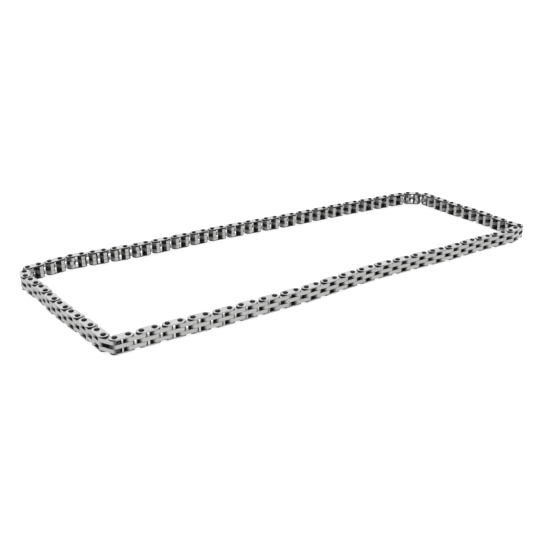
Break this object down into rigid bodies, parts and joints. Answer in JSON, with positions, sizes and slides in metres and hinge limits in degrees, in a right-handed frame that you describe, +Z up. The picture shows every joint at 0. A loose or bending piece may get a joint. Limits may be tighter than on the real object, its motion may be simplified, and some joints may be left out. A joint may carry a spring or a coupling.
{
  "type": "silent timing chain",
  "caption": "Endless inverted-tooth timing chain lying on its side: riveted pins, round-ended guide plates, and toothed centre and inner plates that mesh with a sprocket inside the loop.",
  "frame": {"origin": "middle of the loop's box, at the height of the lower rivet heads that it lies on", "axes": "+X along the front run, +Y towards the back run, +Z up along every pin"},
  "size_m": [0.2844, 0.1162, 0.0089],
  "materials": {
    "pin_steel": "hardened steel pin, ground shank, spun rivet heads",
    "guide_steel": "blanked steel plate, tumbled bright",
    "plate_steel": "fine-blanked hardened steel plate, tumbled, thin oil film"
  },
  "bodies": {
    "front_run_1": {"front_run_1_centre_plates": "plate_steel", "front_run_1_guide_plates": "guide_steel", "front_run_1_inner_plates": "plate_steel", "front_run_1_pins": "pin_steel"},
    "front_run_2": {"front_run_2_centre_plates": "plate_steel", "front_run_2_guide_plates": "guide_steel", "front_run_2_inner_plates": "plate_steel", "front_run_2_pins": "pin_steel"},
    "front_run_3": {"front_run_3_centre_plates": "plate_steel", "front_run_3_guide_plates": "guide_steel", "front_run_3_inner_plates": "plate_steel", "front_run_3_pins": "pin_steel"},
    "front_run_4": {"front_run_4_centre_plates": "plate_steel", "front_run_4_guide_plates": "guide_steel", "front_run_4_inner_plates": "plate_steel", "front_run_4_pins": "pin_steel"},
    "front_run_5": {"front_run_5_centre_plates": "plate_steel", "front_run_5_guide_plates": "guide_steel", "front_run_5_inner_plates": "plate_steel", "front_run_5_pins": "pin_steel"},
    "front_link": {"front_link_inner_plates": "plate_steel"},
    "front_run_6": {"front_run_6_centre_plates": "plate_steel", "front_run_6_guide_plates": "guide_steel", "front_run_6_inner_plates": "plate_steel", "front_run_6_pins": "pin_steel"},
    "right_side": {"right_side_centre_plates": "plate_steel", "right_side_guide_plates": "guide_steel", "right_side_inner_plates": "plate_steel", "right_side_pins": "pin_steel"},
    "back_run_1": {"back_run_1_centre_plates": "plate_steel", "back_run_1_guide_plates": "guide_steel", "back_run_1_inner_plates": "plate_steel", "back_run_1_pins": "pin_steel"},
    "back_run_2": {"back_run_2_centre_plates": "plate_steel", "back_run_2_guide_plates": "guide_steel", "back_run_2_inner_plates": "plate_steel", "back_run_2_pins": "pin_steel"},
    "back_run_3": {"back_run_3_centre_plates": "plate_steel", "back_run_3_guide_plates": "guide_steel", "back_run_3_inner_plates": "plate_steel", "back_run_3_pins": "pin_steel"},
    "back_link": {"back_link_inner_plates": "plate_steel"},
    "back_run_4": {"back_run_4_centre_plates": "plate_steel", "back_run_4_guide_plates": "guide_steel", "back_run_4_inner_plates": "plate_steel", "back_run_4_pins": "pin_steel"},
    "back_run_5": {"back_run_5_centre_plates": "plate_steel", "back_run_5_guide_plates": "guide_steel", "back_run_5_inner_plates": "plate_steel", "back_run_5_pins": "pin_steel"},
    "back_run_6": {"back_run_6_centre_plates": "plate_steel", "back_run_6_guide_plates": "guide_steel", "back_run_6_inner_plates": "plate_steel", "back_run_6_pins": "pin_steel"},
    "left_side": {"left_side_centre_plates": "plate_steel", "left_side_guide_plates": "guide_steel", "left_side_inner_plates": "plate_steel", "left_side_pins": "pin_steel"}
  },
  "joints": [
    {"name": "right_wave", "type": "hinge", "parent": "front_run_3", "child": "front_run_4", "pos_m": [0.02447, -0.05194, 0.00446], "axis": [0, 0, 1], "range_deg": [-25, 25]},
    {"name": "right_wave_pin_32", "type": "hinge", "parent": "front_run_4", "child": "front_run_5", "pos_m": [0.07523, -0.05371, 0.00446], "axis": [0, 0, 1], "range_deg": [-25, 25]},
    {"name": "link_step_pin_35", "type": "hinge", "parent": "front_run_5", "child": "front_link", "pos_m": [0.09427, -0.05305, 0.00446], "axis": [0, 0, 1], "range_deg": [-30, 30]},
    {"name": "link_step", "type": "hinge", "parent": "front_link", "child": "front_run_6", "pos_m": [0.10062, -0.05305, 0.00446], "axis": [0, 0, 1], "range_deg": [-30, 30]},
    {"name": "side_fold", "type": "hinge", "parent": "front_run_6", "child": "right_side", "pos_m": [0.1378, -0.04389, 0.00446], "axis": [0, 0, 1], "range_deg": [-18, 18]},
    {"name": "side_fold_pin_56", "type": "hinge", "parent": "right_side", "child": "back_run_1", "pos_m": [0.13535, 0.03721, 0.00446], "axis": [0, 0, 1], "range_deg": [-18, 18]},
    {"name": "right_wave_pin_65", "type": "hinge", "parent": "back_run_1", "child": "back_run_2", "pos_m": [0.08016, 0.04652, 0.00446], "axis": [0, 0, 1], "range_deg": [-25, 25]},
    {"name": "left_wave", "type": "hinge", "parent": "front_run_3", "child": "front_run_2", "pos_m": [-0.0262, -0.05548, 0.00446], "axis": [0, 0, 1], "range_deg": [-25, 25]},
    {"name": "left_wave_pin_8", "type": "hinge", "parent": "front_run_2", "child": "front_run_1", "pos_m": [-0.077, -0.05548, 0.00446], "axis": [0, 0, 1], "range_deg": [-25, 25]},
    {"name": "side_fold_pin_112", "type": "hinge", "parent": "front_run_1", "child": "left_side", "pos_m": [-0.13261, -0.02959, 0.00446], "axis": [0, 0, 1], "range_deg": [-18, 18]},
    {"name": "side_fold_pin_99", "type": "hinge", "parent": "left_side", "child": "back_run_6", "pos_m": [-0.13506, 0.05151, 0.00446], "axis": [0, 0, 1], "range_deg": [-18, 18]},
    {"name": "left_wave_pin_89", "type": "hinge", "parent": "back_run_6", "child": "back_run_5", "pos_m": [-0.07208, 0.0515, 0.00446], "axis": [0, 0, 1], "range_deg": [-25, 25]},
    {"name": "left_wave_pin_81", "type": "hinge", "parent": "back_run_5", "child": "back_run_4", "pos_m": [-0.02128, 0.0515, 0.00446], "axis": [0, 0, 1], "range_deg": [-25, 25]},
    {"name": "link_step_pin_78", "type": "hinge", "parent": "back_run_4", "child": "back_link", "pos_m": [-0.00226, 0.0505, 0.00446], "axis": [0, 0, 1], "range_deg": [-30, 30]},
    {"name": "link_step_pin_77", "type": "hinge", "parent": "back_link", "child": "back_run_3", "pos_m": [0.00409, 0.0505, 0.00446], "axis": [0, 0, 1], "range_deg": [-30, 30]}
  ],
  "couplings": [
    {"joint": "right_wave_pin_32", "follows": "right_wave", "ratio": -1},
    {"joint": "link_step_pin_35", "follows": "link_step", "ratio": -1},
    {"joint": "side_fold_pin_56", "follows": "side_fold", "ratio": -1},
    {"joint": "right_wave_pin_65", "follows": "right_wave", "ratio": 1},
    {"joint": "left_wave_pin_8", "follows": "left_wave", "ratio": -1},
    {"joint": "side_fold_pin_112", "follows": "side_fold", "ratio": 1},
    {"joint": "side_fold_pin_99", "follows": "side_fold", "ratio": -1},
    {"joint": "left_wave_pin_89", "follows": "left_wave", "ratio": 1},
    {"joint": "left_wave_pin_81", "follows": "left_wave", "ratio": -1},
    {"joint": "link_step_pin_78", "follows": "link_step", "ratio": -1},
    {"joint": "link_step_pin_77", "follows": "link_step", "ratio": 1}
  ]
}
